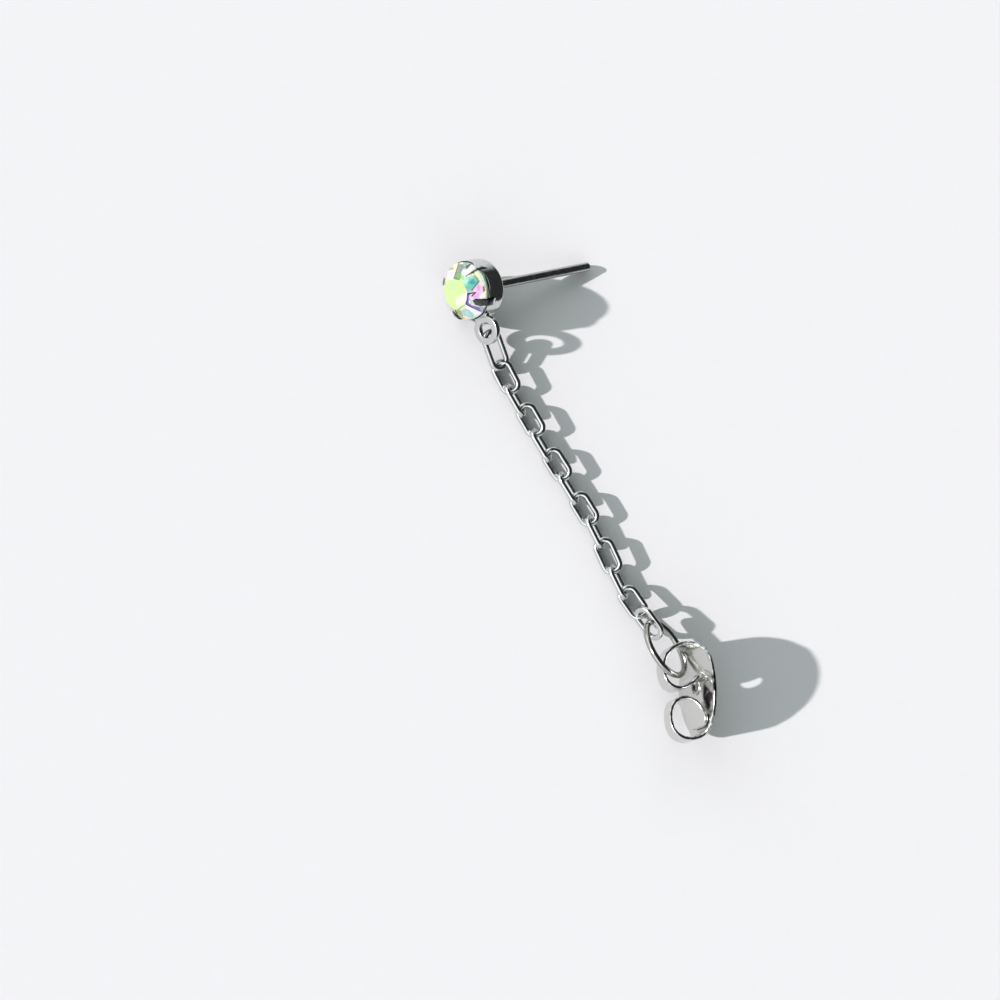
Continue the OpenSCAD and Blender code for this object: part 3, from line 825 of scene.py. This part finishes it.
def finish_stone():
    bm = build_stone()
    bmesh.ops.remove_doubles(bm, verts=bm.verts, dist=1e-5)
    bmesh.ops.recalc_face_normals(bm, faces=bm.faces)
    mark = bm.faces.layers.int.new("flash_id")
    names = list(PAINTED_FLASH_TONES)
    for f in bm.faces:
        f[mark] = names.index("sage") if f.normal.z > -0.05 else names.index("mint")
    # the crown's faces are scored along each outline, so that each flash has clean edges
    for tone, poly in PAINTED_FLASHES:
        xs, ys = [q[0] for q in poly], [q[1] for q in poly]
        for k in range(len(poly)):
            a, b = Vector((*poly[k - 1], 0)), Vector((*poly[k], 0))
            d = b - a
            if d.length < 0.015:
                continue
            x0, x1 = min(a.x, b.x) - 0.02, max(a.x, b.x) + 0.02
            y0, y1 = min(a.y, b.y) - 0.02, max(a.y, b.y) + 0.02
            near = []
            for f in bm.faces:
                if f.normal.z > -0.05:
                    continue
                fx, fy = [v.co.x for v in f.verts], [v.co.y for v in f.verts]
                if max(fx) > x0 and min(fx) < x1 and max(fy) > y0 and min(fy) < y1:
                    near.append(f)
            geom = near + list({e for f in near for e in f.edges}) + list({v for f in near for v in f.verts})
            if near:
                bmesh.ops.bisect_plane(bm, geom=geom, plane_co=a, plane_no=Vector((-d.y, d.x, 0)).normalized(), dist=1e-5)
        key = names.index(tone)
        for f in bm.faces:
            if f.normal.z <= -0.05:
                c = f.calc_center_median()
                if min(xs) <= c.x <= max(xs) and min(ys) <= c.y <= max(ys) and inside(poly, c.x, c.y):
                    f[mark] = key
    ids = []
    for v in bm.verts:
        v.co = STUD @ v.co * MM
    me = bpy.data.meshes.new("stone_facets")
    bm.to_mesh(me)
    bm.free()
    ob = bpy.data.objects.new("stone_facets", me)
    bpy.context.scene.collection.objects.link(ob)
    me.materials.append(CRYSTAL_PAINTED_FLASHES)
    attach(ob, "root")
    ids = [d.value for d in me.attributes["flash_id"].data]
    col = me.color_attributes.new("flash", "FLOAT_COLOR", "CORNER")
    # painted light: steep facets get brighter colours than the table, to make up for the shade they would get, or they
    # would look dull
    axis = (STUD.to_3x3() @ Vector((0, 0, -1))).normalized()
    for p in me.polygons:
        r, g, b = PAINTED_FLASH_TONES[names[ids[p.index]]]
        lift = GAIN / max(0.45, min(1.0, 0.25 + 0.75 * p.normal.dot(axis)))
        for li in p.loop_indices:
            col.data[li].color = (min(0.9, linear(r) * lift), min(0.9, linear(g) * lift), min(0.9, linear(b) * lift), 1)
    me.attributes.remove(me.attributes["flash_id"])
    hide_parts("stone")
    ob.visible_diffuse = False       # cut crystal throws no even light on the floor before it
    return ob


GAIN = 0.40
finish_stone()

# ------------------------------------------------------------------ stage, lights, camera

def build_stage():
    bm = bmesh.new()
    bmesh.ops.create_grid(bm, x_segments=2, y_segments=2, size=0.6)
    me = bpy.data.meshes.new("floor")
    bm.to_mesh(me); bm.free()
    ob = bpy.data.objects.new("floor", me)
    bpy.context.scene.collection.objects.link(ob)
    m = bpy.data.materials.new("pale_floor")
    m.use_nodes = True
    nt = m.node_tree
    b = nt.nodes["Principled BSDF"]
    b.inputs["Roughness"].default_value = 0.9
    b.inputs["Specular IOR Level"].default_value = 0.1
    n = node(nt, "ShaderNodeTexNoise")
    n.inputs["Scale"].default_value = 900.0
    r = node(nt, "ShaderNodeValToRGB")
    r.color_ramp.elements[0].color = (0.88, 0.885, 0.895, 1)
    r.color_ramp.elements[1].color = (0.90, 0.905, 0.915, 1)
    nt.links.new(n.outputs["Fac"], r.inputs["Fac"])
    nt.links.new(r.outputs["Color"], b.inputs["Base Color"])
    me.materials.append(m)


build_stage()

# camera: its line of sight meets the surface at AIM, from this height and roll
ELEV, ROLL, TURN, DIST, FOCAL = 50.0, 64.2, -4.3126, 111.2, 1664.0
ce, se = math.cos(math.radians(ELEV)), math.sin(math.radians(ELEV))
cr, sr = math.cos(math.radians(ROLL)), math.sin(math.radians(ROLL))
F = Vector((ce, 0, -se)); U0 = Vector((se, 0, ce)); R0 = Vector((0, -1, 0))
RIGHT = cr * R0 + sr * U0
UP = -sr * R0 + cr * U0
TZ = rot("Z", TURN).to_3x3()
F, RIGHT, UP = TZ @ F, TZ @ RIGHT, TZ @ UP
pos = (-DIST * F + SHIFT) * MM
cam_data = bpy.data.cameras.new("camera")
cam_data.sensor_width = 36.0
cam_data.lens = FOCAL / 1000.0 * 36.0
cam_data.clip_start = 0.001
cam_data.clip_end = 10.0
cam = bpy.data.objects.new("camera", cam_data)
bpy.context.scene.collection.objects.link(cam)
M = Matrix(((RIGHT.x, UP.x, -F.x, pos.x), (RIGHT.y, UP.y, -F.y, pos.y), (RIGHT.z, UP.z, -F.z, pos.z), (0, 0, 0, 1)))
cam.matrix_world = M
bpy.context.scene.camera = cam

# key light: low and clear from the stone's side; soft fill from the room
SUN_AZ, SUN_EL = -17.8 + TURN, 17.0
sun_dir = Vector((math.cos(math.radians(SUN_EL)) * math.cos(math.radians(SUN_AZ)),
                  math.cos(math.radians(SUN_EL)) * math.sin(math.radians(SUN_AZ)),
                  -math.sin(math.radians(SUN_EL))))
sd = bpy.data.lights.new("key", "SUN")
sd.energy = 6.35
sd.color = (1.0, 0.945, 0.967)
sd.angle = math.radians(0.9)
sun = bpy.data.objects.new("key", sd)
sun.rotation_euler = sun_dir.to_track_quat("-Z", "Y").to_euler()
bpy.context.scene.collection.objects.link(sun)

WIN_A0, WIN_A1, WIN_Z0, WIN_Z1, WIN, SIDE, DIM = 0.18, 0.68, 0.52, 0.84, 1.78, 0.92, 0.040
world = bpy.data.worlds.new("room")
bpy.context.scene.world = world
world.use_nodes = True
wn = world.node_tree
bg = wn.nodes["Background"]
tc = node(wn, "ShaderNodeTexCoord")
sep = node(wn, "ShaderNodeSeparateXYZ")
wn.links.new(tc.outputs["Generated"], sep.inputs[0])


def world_ramp(source, lo, hi, a, b):
    m = node(wn, "ShaderNodeMapRange", interpolation_type="SMOOTHSTEP")
    m.inputs["From Min"].default_value = lo
    m.inputs["From Max"].default_value = hi
    m.inputs["To Min"].default_value = a
    m.inputs["To Max"].default_value = b
    wn.links.new(source, m.inputs["Value"])
    return m.outputs[0]


# one broad soft window on the light's side, from the surface up; the rest of the room is dim,
# so the polished metal reads bright on one side and dark on the other
flat = Vector((-sun_dir.x, -sun_dir.y, 0)).normalized()
dot = node(wn, "ShaderNodeVectorMath", operation="DOT_PRODUCT")
dot.inputs[1].default_value = flat
wn.links.new(tc.outputs["Generated"], dot.inputs[0])
side_on = world_ramp(dot.outputs["Value"], WIN_A0, WIN_A1, 0.0, 1.0)
low_on = world_ramp(sep.outputs["Z"], WIN_Z0, WIN_Z1, 1.0, 0.0)
both = node(wn, "ShaderNodeMath", operation="MULTIPLY")
wn.links.new(side_on, both.inputs[0])
wn.links.new(low_on, both.inputs[1])
level = node(wn, "ShaderNodeMath", operation="MULTIPLY_ADD")
level.inputs[1].default_value = WIN
level.inputs[2].default_value = DIM
wn.links.new(both.outputs[0], level.inputs[0])
# a softer panel at either end of the chain, which fills the shadows
dot2 = node(wn, "ShaderNodeVectorMath", operation="DOT_PRODUCT")
dot2.inputs[1].default_value = (-flat.y, flat.x, 0)
wn.links.new(tc.outputs["Generated"], dot2.inputs[0])
absd = node(wn, "ShaderNodeMath", operation="ABSOLUTE")
wn.links.new(dot2.outputs["Value"], absd.inputs[0])
ends_on = world_ramp(absd.outputs[0], 0.62, 0.86, 0.0, SIDE)
total = node(wn, "ShaderNodeMath", operation="ADD")
wn.links.new(level.outputs[0], total.inputs[0])
wn.links.new(ends_on, total.inputs[1])
bg.inputs["Color"].default_value = (0.93, 1.0, 1.0, 1)
wn.links.new(total.outputs[0], bg.inputs["Strength"])

bpy.context.scene.view_settings.view_transform = "Standard"
bpy.context.scene.view_settings.look = "None"
bpy.context.scene.cycles.caustics_reflective = False
bpy.context.scene.cycles.caustics_refractive = False

for name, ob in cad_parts.items():
    for slot in ob.material_slots:
        slot.material = CRYSTAL_PAINTED_FLASHES if name == "stone" else METAL
